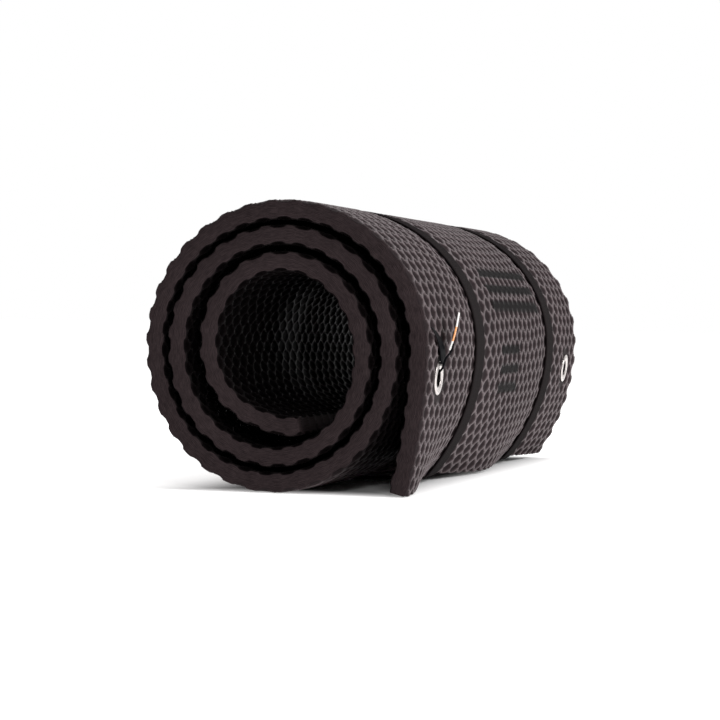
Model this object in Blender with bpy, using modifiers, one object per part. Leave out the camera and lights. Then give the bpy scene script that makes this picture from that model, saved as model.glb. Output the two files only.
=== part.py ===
"""Rolled foam exercise mat, kept rolled by two elastic bands.

One thick foam sheet is wound into a spiral and its loose outer end hangs to the ground on the +X
side. Two flat elastic bands squeeze the roll and tuck the loose end in. A metal eyelet with a back
washer sits near each side edge of the loose end, and a card tag is tied through the near one.

Frame: metres, +Z up, the roll's axis along +Y, the near end at -Y. The origin is on the ground,
under the middle of the whole object's box.
"""

import math

import bmesh
import bpy
from mathutils import Matrix, Vector

# Driving dimensions, in metres
SHEET_WIDTH = 0.600
SHEET_THICKNESS = 0.015
LOOSE_END = 0.106  # length of the sheet that hangs free past the spiral
# Radius of the sheet's middle at each quarter turn, from where the loose end leaves it, inwards
QUARTER_RADII = (
    0.1044, 0.0992, 0.0941, 0.0992, 0.0828, 0.0811, 0.0766, 0.0808, 0.0627, 0.0619, 0.0527, 0.0550,
)
END_OVERRUN = math.radians(16)  # the inner end runs this far past its last quarter turn
END_SAG = 0.0045  # and springs out this much from the spiral
ROLL_CENTRE = Vector((-0.01108, 0.0, 0.10675))  # the spiral's centre in the object's frame

# Bands, measured along the roll from its near end
BAND_PLACES = {"band_near": 0.181, "band_far": 0.473}
BAND_WIDTH = 0.030
BAND_THICKNESS = 0.0014
BAND_GRIP = 0.0016  # how far a band pulls the outer layer's middle in
BAND_PINCH = 0.0006  # how much thinner each half of the outer layer gets under a band
GRIP_MARGIN = 0.001  # the foam stays fully squeezed this far past a band's edges
GRIP_FADE = 0.034  # and is back to its own radius this much further on

# Curvature of the loose end, in 1/m: hanging free, and tucked in under a band
FREE_BEND = 2.4
TUCKED_BEND = 6.8
# How far the loose end is tucked in, from 0 to 1, at places along the roll
TUCKS = ((0.0, 0.0), (0.166, 1.0), (0.196, 1.0), (0.327, 0.55), (0.458, 1.0), (0.488, 1.0), (0.600, 0.8))

# Eyelets: radius and height profiles are measured from the middle of the sheet's thickness
EYELET_PLACES = {"near": 0.044, "far": 0.556}
EYELET_DROP = 0.021  # down the loose end from the height of the roll's centre
BARREL_RADIUS = 0.0068
BORE_RADIUS = 0.0060
FLANGE_RADIUS = 0.0125
FLANGE_DEPTH = 0.0012
LIP_RADIUS = 0.0079
LIP_DEPTH = 0.0005
WASHER_RADIUS = 0.0115
WASHER_DEPTH = 0.0007
GAP = 0.0003  # clearance between touching pieces

# Card tag and its tie, from the near eyelet's centre: along the roll, out from the sheet, and up
CARD_SIZE = (0.0285, 0.0170, 0.0008)
CARD_FOOT = Vector((-0.0009, 0.0116, 0.0200))
CARD_HEAD = Vector((0.0006, 0.0178, 0.0478))
CARD_SIGHT = Vector((0.975, -0.220, 0.0))  # the direction of the card's short side, before squaring
CARD_HOLE = 0.0018
CARD_HOLE_INSET = 0.0045
TIE_RADIUS = 0.0009
KNOT_RADIUS = 0.0066

# Mesh fineness
STEP_ANGLE = math.radians(15)
LOOSE_STEPS = 6
ROUND_SEGMENTS = 32

QUARTER = math.pi / 2
SPIRAL_ANGLE = QUARTER * (len(QUARTER_RADII) - 1) + END_OVERRUN
HALF_THICKNESS = SHEET_THICKNESS / 2


# ---- the roll's shape ---------------------------------------------------------------------------


def smooth(t):
    """Eases from 0 to 1 with flat ends."""
    t = max(0.0, min(1.0, t))
    return t * t * (3 - 2 * t)


def free_radius(angle):
    """Radius of the sheet's middle at an angle round the spiral: a smooth curve through the quarters.
    It starts at right angles to the radius, where the loose end leaves it straight down."""
    radii = QUARTER_RADII
    place = min(max(angle / QUARTER, 0.0), len(radii) - 1.0)
    i = min(int(place), len(radii) - 2)
    t = place - i
    before = radii[i - 1] if i else radii[1]
    after = radii[i + 2] if i + 2 < len(radii) else 2 * radii[i + 1] - radii[i]
    a, b = radii[i], radii[i + 1]
    sprung = END_SAG * smooth((angle - SPIRAL_ANGLE + 2 * END_OVERRUN) / (2 * END_OVERRUN))
    return sprung + 0.5 * (
        2 * a + (b - before) * t + (2 * before - 5 * a + 4 * b - after) * t**2 + (3 * a - before - 3 * b + after) * t**3
    )


def grip(along):
    """1 under a band, fading to 0 beside it."""
    reach = BAND_WIDTH / 2 + GRIP_MARGIN
    nearest = min(abs(along - place) for place in BAND_PLACES.values())
    return 1 - smooth((nearest - reach) / GRIP_FADE)


def outer_share(angle):
    """1 on the outer layer, fading to 0 on the second, because the bands hardly squeeze what is inside."""
    return 1 - smooth((angle - 3 * QUARTER) / (2 * QUARTER))


def radius(angle, along):
    return free_radius(angle) - BAND_GRIP * grip(along) * outer_share(angle)


def half_thickness(angle, along):
    return HALF_THICKNESS - BAND_PINCH * grip(along) * outer_share(angle)


def loose_bend(along):
    """Curvature of the loose end at a place along the roll."""
    for (start, low), (end, high) in zip(TUCKS, TUCKS[1:]):
        if along <= end:
            tuck = low + (high - low) * smooth((along - start) / (end - start))
            return FREE_BEND + (TUCKED_BEND - FREE_BEND) * tuck
    return FREE_BEND + (TUCKED_BEND - FREE_BEND) * TUCKS[-1][1]


def loose_point(drop, along):
    """Middle point and outward normal of the loose end, this far down it from the centre's height."""
    bend = loose_bend(along)
    turn = bend * drop
    x = radius(0.0, along) - (1 - math.cos(turn)) / bend
    return Vector((x, -math.sin(turn) / bend)), Vector((math.cos(turn), -math.sin(turn)))


def spiral_point(angle, along):
    """Middle point and outward normal of the sheet at an angle round the spiral."""
    r = radius(angle, along)
    step = 1e-4
    slope = (radius(angle + step, along) - radius(max(angle - step, 0.0), along)) / (2 * step)
    radial = Vector((math.cos(angle), math.sin(angle)))
    tangent = Vector((-math.sin(angle), math.cos(angle)))
    return radial * r, (radial * r - tangent * slope).normalized()


def section(along):
    """The sheet's outer and inner outlines at a place along the roll, from its loose end inwards."""
    outer, inner = [], []
    steps = round(SPIRAL_ANGLE / STEP_ANGLE)
    rows = [(*loose_point(LOOSE_END * (1 - i / LOOSE_STEPS), along), 0.0) for i in range(LOOSE_STEPS)]
    for i in range(steps + 1):
        angle = SPIRAL_ANGLE * i / steps
        rows.append((*spiral_point(angle, along), angle))
    for point, normal, angle in rows:
        half = half_thickness(angle, along)
        outer.append(point + normal * half)
        inner.append(point - normal * half)
    return outer, inner


def world_y(along):
    return along - SHEET_WIDTH / 2


def stations():
    """Places along the roll where the sheet's outline is set: closer together beside the bands."""
    places = {0.0, SHEET_WIDTH, 0.090, 0.130, 0.250, 0.290, 0.327, 0.365, 0.405, 0.520}
    places.update(EYELET_PLACES.values())
    for place in BAND_PLACES.values():
        for side in (-1, 1):
            for past in (GRIP_MARGIN, GRIP_FADE / 2, GRIP_FADE):
                places.add(place + side * (BAND_WIDTH / 2 + past))
    return sorted(places)


# ---- making objects -----------------------------------------------------------------------------


def clear_scene():
    for item in list(bpy.data.objects):
        bpy.data.objects.remove(item)


def new_collection(name):
    made = bpy.data.collections.new(name)
    bpy.context.scene.collection.children.link(made)
    return made


def material(name, colour, roughness, metallic=0.0):
    made = bpy.data.materials.new(name)
    made.use_nodes = True
    shader = made.node_tree.nodes["Principled BSDF"]
    shader.inputs["Base Color"].default_value = (*colour, 1.0)
    shader.inputs["Roughness"].default_value = roughness
    shader.inputs["Metallic"].default_value = metallic
    return made


def add_object(name, data, collection, parent=None, place=None, finish=None):
    made = bpy.data.objects.new(name, data)
    collection.objects.link(made)
    made.parent = parent
    if place is not None:
        made.matrix_local = place
    if finish is not None:
        data.materials.append(finish)
    return made


def mesh_from_bmesh(name, shape):
    data = bpy.data.meshes.new(name)
    shape.to_mesh(data)
    shape.free()
    return data


def round_shading(data):
    data.shade_smooth()
    data.set_sharp_from_angle(angle=math.radians(35))


def add_cutter(name, cut_radius, low, high, place, collection, parent):
    """A hidden cylinder along its local Z, from low to high."""
    shape = bmesh.new()
    move = Matrix.Translation((0, 0, (low + high) / 2))
    bmesh.ops.create_cone(
        shape, cap_ends=True, segments=ROUND_SEGMENTS, radius1=cut_radius, radius2=cut_radius,
        depth=high - low, matrix=move,
    )
    made = add_object(name, mesh_from_bmesh(name, shape), collection, parent, place)
    made.hide_render = True
    made.display_type = "WIRE"
    return made


def boolean(target, tool, operation):
    cut = target.modifiers.new(f"{operation.lower()}_{tool.name}", "BOOLEAN")
    cut.object = tool
    cut.operation = operation
    cut.solver = "EXACT"


def turned(name, profile, place, collection, parent, finish):
    """A ring turned about its local Z. The profile goes down its outer side and up its inner side."""
    shape = bmesh.new()
    corners = [shape.verts.new((r, 0.0, z)) for r, z in profile]
    for a, b in zip(corners, corners[1:] + corners[:1]):
        shape.edges.new((a, b))
    made = add_object(name, mesh_from_bmesh(name, shape), collection, parent, place, finish)
    screw = made.modifiers.new("turn", "SCREW")
    screw.axis = "Z"
    screw.angle = 2 * math.pi
    screw.steps = screw.render_steps = ROUND_SEGMENTS
    screw.use_merge_vertices = True
    screw.merge_threshold = 0.00001
    screw.use_smooth_shade = False
    return made


# ---- the pieces ---------------------------------------------------------------------------------


def make_sheet(collection, parent, finish):
    """The foam sheet: its outline lofted along the roll."""
    shape = bmesh.new()
    rings = []
    for along in stations():
        sides = section(along)
        y = world_y(along)
        rings.append([[shape.verts.new((p.x, y, p.y)) for p in side] for side in sides])
    for (outer, inner), (next_outer, next_inner) in zip(rings, rings[1:]):
        loop = outer + inner[::-1]
        next_loop = next_outer + next_inner[::-1]
        for i in range(len(loop)):
            j = (i + 1) % len(loop)
            shape.faces.new((loop[i], loop[j], next_loop[j], next_loop[i]))
    for outer, inner in (rings[0], rings[-1]):
        for i in range(len(outer) - 1):
            shape.faces.new((outer[i], inner[i], inner[i + 1], outer[i + 1]))
    bmesh.ops.recalc_face_normals(shape, faces=shape.faces)
    data = mesh_from_bmesh("mat_sheet", shape)
    round_shading(data)
    return add_object("mat_sheet", data, collection, parent, None, finish)


def eyelet_place(along):
    """Matrix with its origin in the middle of the sheet and its Z out of the loose end's outer face."""
    point, normal = loose_point(EYELET_DROP, along)
    out = Vector((normal.x, 0.0, normal.y))
    across = Vector((0.0, 1.0, 0.0))
    up = out.cross(across)
    turn = Matrix((across, up * -1, out)).transposed()
    if turn.determinant() < 0:
        turn = Matrix((across, up, out)).transposed()
    return Matrix.Translation((point.x, world_y(along), point.y)) @ turn.to_4x4()


def make_eyelet(side, along, sheet, parts, cutters, parent, metal):
    """A flanged barrel through the sheet with its end rolled over a back washer, both let into the foam."""
    place = eyelet_place(along)
    flange_back = HALF_THICKNESS - FLANGE_DEPTH
    washer_front = -HALF_THICKNESS + WASHER_DEPTH + GAP
    washer_back = washer_front - WASHER_DEPTH
    lip_front = washer_back - GAP
    lip_back = lip_front - LIP_DEPTH
    edge = FLANGE_DEPTH / 2
    profile = (
        (BORE_RADIUS, HALF_THICKNESS - edge),
        (BORE_RADIUS + edge, HALF_THICKNESS),
        (FLANGE_RADIUS - 2 * edge, HALF_THICKNESS),
        (FLANGE_RADIUS, HALF_THICKNESS - edge),
        (FLANGE_RADIUS, flange_back),
        (BARREL_RADIUS, flange_back),
        (BARREL_RADIUS, lip_front),
        (LIP_RADIUS, lip_front),
        (LIP_RADIUS, lip_back),
        (BORE_RADIUS, lip_back),
    )
    turned(f"eyelet_{side}", profile, place, parts, parent, metal)
    washer_bore = BARREL_RADIUS + GAP
    washer = (
        (washer_bore, washer_front),
        (WASHER_RADIUS, washer_front),
        (WASHER_RADIUS, washer_back),
        (washer_bore, washer_back),
    )
    turned(f"washer_{side}", washer, place, parts, parent, metal)
    cuts = (
        ("bore", BARREL_RADIUS + GAP, -SHEET_THICKNESS, SHEET_THICKNESS),
        ("front", FLANGE_RADIUS + GAP, flange_back - GAP, SHEET_THICKNESS),
        ("back", WASHER_RADIUS + GAP, -SHEET_THICKNESS, washer_front + GAP),
    )
    for word, cut_radius, low, high in cuts:
        tool = add_cutter(f"cut_{word}_{side}", cut_radius, low, high, place, cutters, parent)
        boolean(sheet, tool, "DIFFERENCE")


def hull(points):
    """Convex outline round 2D points, anticlockwise."""
    points = sorted({(p.x, p.y) for p in points})

    def chain(ordered):
        kept = []
        for p in ordered:
            while len(kept) > 1:
                (ax, ay), (bx, by) = kept[-2], kept[-1]
                if (bx - ax) * (p[1] - ay) - (by - ay) * (p[0] - ax) > 1e-12:
                    break
                kept.pop()
            kept.append(p)
        return kept[:-1]

    return [Vector(p) for p in chain(points) + chain(points[::-1])]


def grown(outline, distance):
    """A convex outline pushed out evenly: each corner moves so that both its sides move that far."""
    made = []
    for before, at, after in zip(outline[-1:] + outline[:-1], outline, outline[1:] + outline[:1]):
        first = (at - before).normalized()
        second = (after - at).normalized()
        normals = Vector((first.y, -first.x)), Vector((second.y, -second.x))
        middle = normals[0] + normals[1]
        made.append(at + middle * (2 * distance / middle.length_squared))
    return made


def make_band(name, along, collection, parent, finish):
    """An elastic loop stretched round the squeezed roll and straight across its hollows."""
    outline = hull(section(along)[0])
    curve = bpy.data.curves.new(name, "CURVE")
    curve.dimensions = "2D"
    curve.fill_mode = "BOTH"
    curve.extrude = BAND_WIDTH / 2
    for distance in (GAP, GAP + BAND_THICKNESS):
        loop = grown(outline, distance)
        spline = curve.splines.new("POLY")
        spline.points.add(len(loop) - 1)
        spline.use_cyclic_u = True
        for point, corner in zip(spline.points, loop):
            point.co = (corner.x, corner.y, 0.0, 1.0)
    stand_up = Matrix.Rotation(math.radians(90), 4, "X")
    place = Matrix.Translation((0.0, world_y(along), 0.0)) @ stand_up
    return add_object(name, curve, collection, parent, place, finish)


def tag_point(offset, origin):
    """A point given along the roll, out from the sheet and up, from the near eyelet's centre."""
    return origin + Vector((offset.y, offset.x, offset.z))


def make_tag(parts, cutters, parent, card_finish, tie_finish):
    """A card tag lying beside the near eyelet, and the tie that holds it, knotted behind the washer."""
    place = eyelet_place(EYELET_PLACES["near"])
    origin = place.to_translation()
    foot, head = tag_point(CARD_FOOT, origin), tag_point(CARD_HEAD, origin)
    long_way = (head - foot).normalized()
    sight = Vector((CARD_SIGHT.y, CARD_SIGHT.x, CARD_SIGHT.z))
    face = long_way.cross(sight).normalized()
    if face.x < 0:
        face.negate()
    short_way = face.cross(long_way)
    length, width, depth = CARD_SIZE
    turn = Matrix((long_way, short_way, face)).transposed()
    if turn.determinant() < 0:
        turn = Matrix((long_way, -short_way, face)).transposed()
    card_place = Matrix.Translation((foot + head) / 2) @ turn.to_4x4()
    shape = bmesh.new()
    bmesh.ops.create_cube(shape, size=1.0, matrix=Matrix.Diagonal((length, width, depth, 1.0)))
    card = add_object(
        "tag_card", mesh_from_bmesh("tag_card", shape), parts, parent, card_place, card_finish
    )
    hole_centre = Matrix.Translation((-length / 2 + CARD_HOLE_INSET, 0.0, 0.0))
    tool = add_cutter("cut_card", CARD_HOLE, -0.003, 0.003, card_place @ hole_centre, cutters, parent)
    boolean(card, tool, "DIFFERENCE")

    # The tie leaves a flat knot behind the washer, comes through the eyelet and ends on the card.
    out = place.to_3x3().col[2]
    lip_back = -HALF_THICKNESS - GAP - LIP_DEPTH
    knot_z = lip_back - GAP - TIE_RADIUS
    front = depth / 2 + 2 * GAP + TIE_RADIUS
    end = card_place @ hole_centre @ Vector((0.0, 0.0, front))
    below = card_place @ Vector((-length / 2 - 0.005, 0.0, front + GAP))
    start, mouth = origin + out * knot_z, origin + out * (HALF_THICKNESS + 0.003)
    bend = origin + out * (HALF_THICKNESS + 0.0045) + Vector((0.0, 0.006, 0.008))
    route = [start, mouth, bend, below, end]
    path = [route[0]]
    steps = 5
    for i in range(len(route) - 1):
        before = route[max(i - 1, 0)]
        after = route[min(i + 2, len(route) - 1)]
        a, b = route[i], route[i + 1]
        for k in range(1, steps + 1):
            t = k / steps
            path.append(
                0.5 * (
                    2 * a + (b - before) * t + (2 * before - 5 * a + 4 * b - after) * t**2
                    + (3 * a - before - 3 * b + after) * t**3
                )
            )
    curve = bpy.data.curves.new("tie_run", "CURVE")
    curve.dimensions = "3D"
    curve.bevel_depth = TIE_RADIUS
    curve.bevel_resolution = 2
    curve.use_fill_caps = True
    spline = curve.splines.new("POLY")
    spline.points.add(len(path) - 1)
    for point, corner in zip(spline.points, path):
        point.co = (*corner, 1.0)
    run = add_object("tie_run", curve, parts, parent)
    evaluated = run.evaluated_get(bpy.context.evaluated_depsgraph_get())
    data = bpy.data.meshes.new_from_object(evaluated)
    shape = bmesh.new()
    shape.from_mesh(data)
    bmesh.ops.remove_doubles(shape, verts=shape.verts, dist=0.00001)
    bmesh.ops.recalc_face_normals(shape, faces=shape.faces)
    shape.to_mesh(data)
    shape.free()
    tie = add_object("tag_tie", data, parts, parent, None, tie_finish)
    bpy.data.objects.remove(run)
    knot = add_cutter(
        "knot", KNOT_RADIUS, knot_z - TIE_RADIUS, knot_z + TIE_RADIUS, place, cutters, parent
    )
    boolean(tie, knot, "UNION")


def build():
    clear_scene()
    parts = new_collection("rolled_exercise_mat")
    cutters = new_collection("cutters")
    foam = material("foam", (0.052, 0.046, 0.050), 0.62)
    elastic = material("elastic", (0.030, 0.026, 0.027), 0.85)
    metal = material("eyelet_metal", (0.82, 0.81, 0.79), 0.22, 1.0)
    card = material("card", (0.88, 0.87, 0.84), 0.55)
    tie = material("tie", (0.012, 0.012, 0.014), 0.5)

    centre = bpy.data.objects.new("roll_centre", None)
    parts.objects.link(centre)
    centre.location = ROLL_CENTRE
    sheet = make_sheet(parts, centre, foam)
    for side, along in EYELET_PLACES.items():
        make_eyelet(side, along, sheet, parts, cutters, centre, metal)
    for name, along in BAND_PLACES.items():
        make_band(name, along, parts, centre, elastic)
    make_tag(parts, cutters, centre, card, tie)
    bpy.context.view_layer.update()


build()
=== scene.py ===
"""Looks of a rolled foam exercise mat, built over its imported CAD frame.

The foam sheet is modelled again in full: its staggered hollows on both faces, the wavy cut edges
they leave, the pinched waists under the elastic bands and the loose end that relaxes between them.
"""

import math

import bmesh
import bpy
import numpy as np
from mathutils import Matrix, Vector


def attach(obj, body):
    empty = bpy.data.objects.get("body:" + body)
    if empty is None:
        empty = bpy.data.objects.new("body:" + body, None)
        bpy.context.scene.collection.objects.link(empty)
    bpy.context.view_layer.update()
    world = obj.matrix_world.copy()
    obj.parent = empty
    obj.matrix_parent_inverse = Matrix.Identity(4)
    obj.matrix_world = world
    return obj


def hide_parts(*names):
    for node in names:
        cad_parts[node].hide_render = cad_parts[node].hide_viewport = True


# ---- dimensions, in metres ----------------------------------------------------------------------

SHEET_WIDTH = 0.600
SHEET_THICKNESS = 0.015
LOOSE_END = 0.106  # length that hangs free, outside the roll
# Radius of the sheet's middle at each quarter turn, from where the loose end leaves it, inwards
QUARTER_RADII = (
    0.1044, 0.0992, 0.0941, 0.0992, 0.0828, 0.0811, 0.0766, 0.0808, 0.0627, 0.0619, 0.0527, 0.0550,
)
ROLL_CENTRE = Vector((-0.01108, 0.0, 0.10675))
BAND_PLACES = {"band_near": 0.181, "band_far": 0.473}
BAND_WIDTH = 0.030
BAND_THICKNESS = 0.0014
BAND_GRIP = 0.0016  # how far a band pulls the outer layer's middle in
BAND_PINCH = 0.0006  # how much thinner each half of the outer layer gets under a band
GRIP_MARGIN = 0.001  # the foam stays fully squeezed this far past a band's edges
GRIP_FADE = 0.034  # and lets go over this length
END_OVERRUN = math.radians(16)  # the spiral's inner end, past its last quarter turn
END_SAG = 0.0045
FREE_BEND = 2.4  # curvature of the loose end where nothing holds it, and where a band tucks it in
TUCKED_BEND = 6.8
# How tucked in the loose end is: places along the roll, and 0 for free to 1
TUCKS = (
    (0.0, 0.0), (0.166, 1.0), (0.196, 1.0), (0.327, 0.55), (0.458, 1.0), (0.488, 1.0), (0.600, 0.8),
)
EYELET_PLACES = {"near": 0.044, "far": 0.556}
EYELET_DROP = 0.021  # eyelets' centres, below where the loose end leaves the roll
HOLE_RADIUS = 0.0071
BORE_RADIUS = 0.0069  # points of an eyelet nearer its axis than this are its bore
GAP = 0.0003  # between a band and the foam
BAND_CROWN = 0.00012  # a band is thickest in its middle
BAND_RIM_FALL = 0.00035  # and thins towards its edges
BAND_BULGE = 0.0002  # which are rounded outwards
BAND_WANDER = 0.0005  # how far it strays from a true circle, along the roll

# The embossed pattern: rows of hollows along the roll, each row half a pitch past the last
PITCH = 0.0190
ROW = 0.0088
HOLLOW_DEPTH = 0.0019
INNER_SHARE = 0.75  # the inner face is pressed together by the roll, so its hollows are shallower
HOLLOW_HALF_LENGTH = 0.49  # of a pitch
HOLLOW_HALF_HEIGHT = 0.71  # of a row
HOLLOW_POINT = 1.4  # 2 is an oval, 1 is a diamond
ROW_SHIFTS = ((0.0, 0.0), (0.181, 0.0030), (0.330, 0.0), (0.473, -0.0040), (0.600, -0.0045))
RIM_FADE = 0.006  # the ridges' painted highlight fades over this length at the sheet's cut ends
COVERED_FROM = 0.588  # along the sheet, where the loose end starts to cover the roll's outer face
SMOOTH_PATCH = 0.0165  # radius of the plain foam round an eyelet
PATCH_FADE = 0.003
PATCH_DEPTH = 0.0016
# Pressed foam is never quite even. Its rows waver by a height, with so many radians per metre along
# the roll and along the sheet; its faces swell the same way; and its cut ends waver along the sheet
ROW_WAVES = ((0.0008, 33, 17), (0.0005, 71, -29))
SWELL = 0.00016
SWELL_WAVES = ((13, 11), (5, 20), (-3, 29))
EDGE_WAVES = ((0.0007, 17), (0.0005, 41))
EDGE_REACH = 0.05  # how far in from a cut end the foam follows its waver
# Rounded cut edges: rows of points this far from an edge are drawn in by so much
FILLET = (0.0, 0.0005, 0.0014)
FILLET_DRAWN_IN = (0.0009, 0.00032, 0.00005)
FILLET_CLEAR = 0.0018  # and the pattern's own rows start past this
# Plain printed stripes on the outer face: from and to along the roll, then along the sheet
BLOCKS = (
    (0.262, 0.334, 0.070, 0.077), (0.262, 0.334, 0.085, 0.092), (0.262, 0.334, 0.100, 0.107),
    (0.248, 0.440, 0.134, 0.141), (0.248, 0.440, 0.148, 0.155), (0.248, 0.440, 0.162, 0.169),
)
BLOCK_DEPTH = 0.0008
BLOCK_INSET = 0.0006  # a stripe's edge starts to fade this far inside it
BLOCK_FADE = 0.0016
BORE_SHADE = 0.0060  # the eyelets' bores get painted shade below this height

# Tag, from the near eyelet's centre: out from the sheet, along the roll, and up
CARD_OFFSET = Vector((0.0157, 0.0082, 0.0339))
CARD_LONG_WAY = Vector((0.2159, 0.0523, 0.9685))  # leans out as it goes up
CARD_SHORT_WAY = Vector((-0.172, 0.985, 0.0))  # runs back along the roll
CARD_SIZE = (0.0283, 0.0168, 0.0005)
CORD_RADIUS = 0.0008
# The ribbon is partly painted shadow of the card
RIBBON_AND_SHADOW_SPINE = (
    Vector((0.0086, 0.0000, 0.0095)),
    Vector((0.0095, 0.0045, 0.0245)),
    Vector((0.0106, -0.0450, 0.0370)),
)
RIBBON_AND_SHADOW_HALF_WIDTH = 0.0085
RIBBON_AND_SHADOW_HALF_THICKNESS = 0.0003
KNOT_RADIUS = 0.0064
KNOT_HALF_HEIGHT = 0.0009

# Camera, from the roll's centre at its near end
CAMERA_OFFSET = Vector((0.5395, -1.8056, 0.0240))
CAMERA_AHEAD = Vector((-0.2558, 0.9666, -0.0175))
CAMERA_RIGHT = Vector((0.9664, 0.2561, 0.0192))
CAMERA_LENS = 130.0

# Colours
FOAM = (0.0300, 0.0222, 0.0234, 1.0)
# Painted highlight on the foam's ridges
RIDGE_PAINTED_HIGHLIGHT = (0.099, 0.076, 0.080, 1.0)
# Painted shade in the floors of the hollows
HOLLOW_PAINTED_SHADE = (0.0150, 0.0110, 0.0120, 1.0)
FOAM_PATCH = (0.026, 0.0208, 0.0215, 1.0)
FOAM_STRIPE = (0.0022, 0.0017, 0.0018, 1.0)
CUT_DARK = (0.0130, 0.0094, 0.0102, 1.0)
CUT_LIGHT = (0.0400, 0.0288, 0.0302, 1.0)
BLACK = (0.0, 0.0, 0.0, 1.0)
WHITE = (1.0, 1.0, 1.0, 1.0)
INNER_LIGHT = 0.15  # share of its brightness that the sheet's inner face keeps
COVERED_LIGHT = 0.30  # and its outer face, under the next turn
ELASTIC_DARK = (0.0046, 0.0032, 0.0034, 1.0)
ELASTIC_LIGHT = (0.0118, 0.0088, 0.0092, 1.0)
ELASTIC_FUZZ = (0.0150, 0.0116, 0.0120, 1.0)
METAL_LIGHT = (0.66, 0.61, 0.59, 1.0)
METAL_DULL = (0.50, 0.46, 0.445, 1.0)
# Painted shade down the eyelets' bores
BORE_PAINTED_SHADE = (0.020, 0.018, 0.018, 1.0)
CARD_WHITE = (0.86, 0.85, 0.82, 1.0)
CARD_WORN = (0.78, 0.77, 0.75, 1.0)
CARD_ORANGE = (0.80, 0.29, 0.045, 1.0)
CARD_INK = (0.16, 0.16, 0.18, 1.0)
# The tie's black, also on the ribbon that is partly painted shadow of the card
TIE_DARK = (0.0030, 0.0030, 0.0036, 1.0)
TIE_LIGHT = (0.0070, 0.0070, 0.0085, 1.0)

QUARTER = math.pi / 2
SPIRAL_ANGLE = QUARTER * (len(QUARTER_RADII) - 1) + END_OVERRUN
HALF_THICKNESS = SHEET_THICKNESS / 2
RNG = np.random.default_rng(7)

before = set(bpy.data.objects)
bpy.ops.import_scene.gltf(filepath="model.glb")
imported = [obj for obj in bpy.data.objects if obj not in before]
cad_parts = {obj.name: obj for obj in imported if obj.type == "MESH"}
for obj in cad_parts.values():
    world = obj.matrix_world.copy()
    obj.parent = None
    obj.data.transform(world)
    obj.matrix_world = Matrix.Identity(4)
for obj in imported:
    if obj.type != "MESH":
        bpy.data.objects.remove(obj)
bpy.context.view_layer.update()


# ---- the roll's shape ---------------------------------------------------------------------------


def smooth(t):
    t = np.clip(t, 0.0, 1.0)
    return t * t * (3 - 2 * t)


def free_radius(angle):
    """Radius of the sheet's middle round the spiral: a smooth curve through its quarter turns."""
    radii = np.array(QUARTER_RADII)
    padded = np.concatenate(([radii[1]], radii, [2 * radii[-1] - radii[-2]]))
    place = np.clip(np.asarray(angle, float) / QUARTER, 0.0, len(radii) - 1.0)
    i = np.minimum(place.astype(int), len(radii) - 2)
    t = place - i
    before, a, b, after = padded[i], padded[i + 1], padded[i + 2], padded[i + 3]
    from_end = SPIRAL_ANGLE - np.asarray(angle, float)
    sprung = END_SAG * smooth((2 * END_OVERRUN - from_end) / (2 * END_OVERRUN))
    return sprung + 0.5 * (
        2 * a + (b - before) * t + (2 * before - 5 * a + 4 * b - after) * t**2
        + (3 * a - before - 3 * b + after) * t**3
    )


def grip(along):
    """1 where a band squeezes the roll, 0 well away from both bands."""
    reach = BAND_WIDTH / 2 + GRIP_MARGIN
    nearest = np.min([np.abs(along - place) for place in BAND_PLACES.values()], axis=0)
    return 1 - smooth((nearest - reach) / GRIP_FADE)


def outer_share(angle):
    """How much of a band's squeeze a layer takes: all of it outside, none inside."""
    return 1 - smooth((angle - 3 * QUARTER) / (2 * QUARTER))


def eased(along, table):
    """A value that eases between the entries of a table of (place, value)."""
    for (start, low), (end, high) in zip(table, table[1:]):
        if along <= end:
            return low + (high - low) * float(smooth((along - start) / (end - start)))
    return table[-1][1]


def loose_bend(along):
    """Curvature of the loose end at a place along the roll."""
    return FREE_BEND + (TUCKED_BEND - FREE_BEND) * eased(along, TUCKS)


def middle_line(lengths, along):
    """Middle points, outward normals and half thicknesses, at lengths from the loose end."""
    lengths = np.asarray(lengths, float)
    pull = float(grip(along))
    drops = LOOSE_END - lengths
    bend = loose_bend(along)
    start = float(free_radius(0.0)) - BAND_GRIP * pull
    turn = bend * np.maximum(drops, 0.0)
    loose = np.stack((start - (1 - np.cos(turn)) / bend, -np.sin(turn) / bend), axis=-1)
    loose_normal = np.stack((np.cos(turn), -np.sin(turn)), axis=-1)

    angles = np.interp(lengths - LOOSE_END, SPIRAL_LENGTHS, SPIRAL_ANGLES)
    share = outer_share(angles)
    step = 1e-4
    r = free_radius(angles) - BAND_GRIP * pull * share
    on, back = angles + step, angles - step
    ahead = free_radius(on) - BAND_GRIP * pull * outer_share(on)
    behind = free_radius(np.maximum(back, 0)) - BAND_GRIP * pull * outer_share(back)
    slope = (ahead - behind) / (2 * step)
    radial = np.stack((np.cos(angles), np.sin(angles)), axis=-1)
    tangent = np.stack((-np.sin(angles), np.cos(angles)), axis=-1)
    normal = radial * r[:, None] - tangent * slope[:, None]
    normal /= np.linalg.norm(normal, axis=1)[:, None]
    hanging = (drops > 0)[:, None]
    points = np.where(hanging, loose, radial * r[:, None])
    normals = np.where(hanging, loose_normal, normal)
    halves = HALF_THICKNESS - BAND_PINCH * pull * np.where(drops > 0, 1.0, share)
    return points, normals, halves


SPIRAL_ANGLES = np.linspace(0, SPIRAL_ANGLE, 4000)
_r = free_radius(SPIRAL_ANGLES)
_xy = np.stack((_r * np.cos(SPIRAL_ANGLES), _r * np.sin(SPIRAL_ANGLES)), axis=-1)
SPIRAL_LENGTHS = np.concatenate(([0.0], np.cumsum(np.linalg.norm(np.diff(_xy, axis=0), axis=1))))
SHEET_LENGTH = LOOSE_END + float(SPIRAL_LENGTHS[-1])


def length_at(angle):
    """Length from the sheet's loose end to an angle round the spiral."""
    return LOOSE_END + float(np.interp(angle, SPIRAL_ANGLES, SPIRAL_LENGTHS))


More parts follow.
